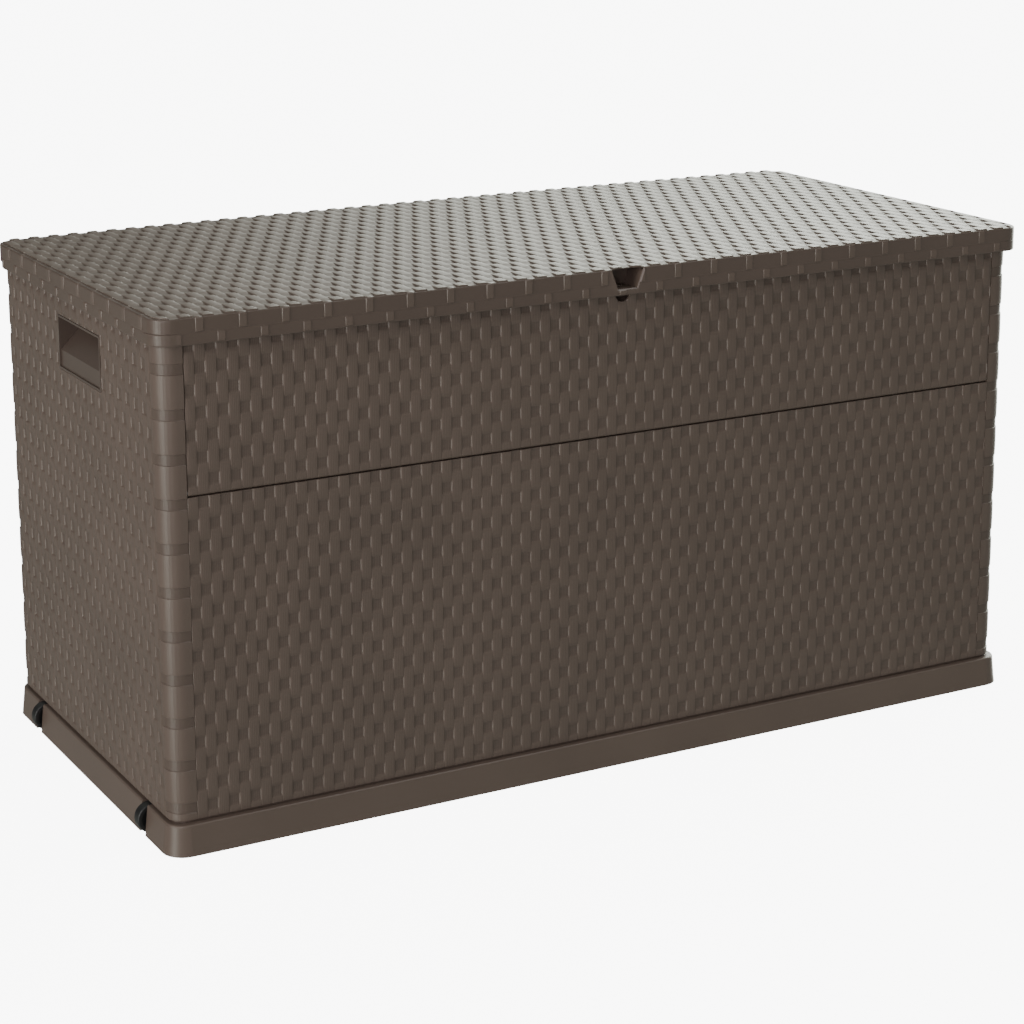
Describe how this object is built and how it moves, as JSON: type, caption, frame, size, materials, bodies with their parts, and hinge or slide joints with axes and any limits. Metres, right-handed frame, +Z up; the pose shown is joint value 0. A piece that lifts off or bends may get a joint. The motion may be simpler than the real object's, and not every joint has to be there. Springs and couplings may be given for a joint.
{
  "type": "deck storage box",
  "caption": "Rattan-look plastic deck storage box with a hinged lid, a drop-down front flap, handle cups and wheels at one end.",
  "frame": {"origin": "on the ground, below the centre of the lid", "axes": "+X along the long front towards the end without wheels, +Y from the front to the back, +Z up"},
  "size_m": [1.2075, 0.56, 0.63],
  "materials": {
    "rattan_plastic": "satin moulded polypropylene with a relief of woven flat strands",
    "smooth_plastic": "smooth satin moulded polypropylene",
    "wheel_plastic": "satin black moulded plastic",
    "steel": "zinc plated"
  },
  "bodies": {
    "case": {"base_tray": "smooth_plastic", "left_end_panel": "rattan_plastic", "right_end_panel": "rattan_plastic", "left_handle_cup": "smooth_plastic", "right_handle_cup": "smooth_plastic", "lower_front_panel": "rattan_plastic", "lower_back_panel": "rattan_plastic", "upper_back_panel": "rattan_plastic", "left_hinge_bracket": "smooth_plastic", "right_hinge_bracket": "smooth_plastic", "left_hinge_pin": "steel", "right_hinge_pin": "steel", "left_flap_pin": "steel", "right_flap_pin": "steel", "front_wheel_axle": "steel", "rear_wheel_axle": "steel", "panel_screws": "steel", "base_screws": "steel", "hinge_bracket_screws": "steel"},
    "lid": {"lid_shell": "rattan_plastic", "lid_inner_panel": "smooth_plastic", "padlock_socket": "smooth_plastic", "left_hinge_knuckle": "smooth_plastic", "right_hinge_knuckle": "smooth_plastic", "hinge_knuckle_screws": "steel"},
    "flap": {"front_flap": "rattan_plastic", "flap_inner_panel": "smooth_plastic", "flap_screws": "steel"},
    "front_wheel": {"front_wheel": "wheel_plastic"},
    "rear_wheel": {"rear_wheel": "wheel_plastic"}
  },
  "joints": [
    {"name": "lid_hinge", "type": "hinge", "parent": "case", "child": "lid", "pos_m": [0, 0.273, 0.606], "axis": [-1, 0, 0], "range_deg": [0, 100]},
    {"name": "flap_hinge", "type": "hinge", "parent": "case", "child": "flap", "pos_m": [0, -0.263, 0.425], "axis": [1, 0, 0], "range_deg": [0, 95]},
    {"name": "front_wheel_spin", "type": "hinge", "parent": "case", "child": "front_wheel", "pos_m": [-0.5895, -0.187, 0.019], "axis": [0, 1, 0], "continuous": true},
    {"name": "rear_wheel_spin", "type": "hinge", "parent": "case", "child": "rear_wheel", "pos_m": [-0.5895, 0.187, 0.019], "axis": [0, 1, 0], "continuous": true}
  ]
}
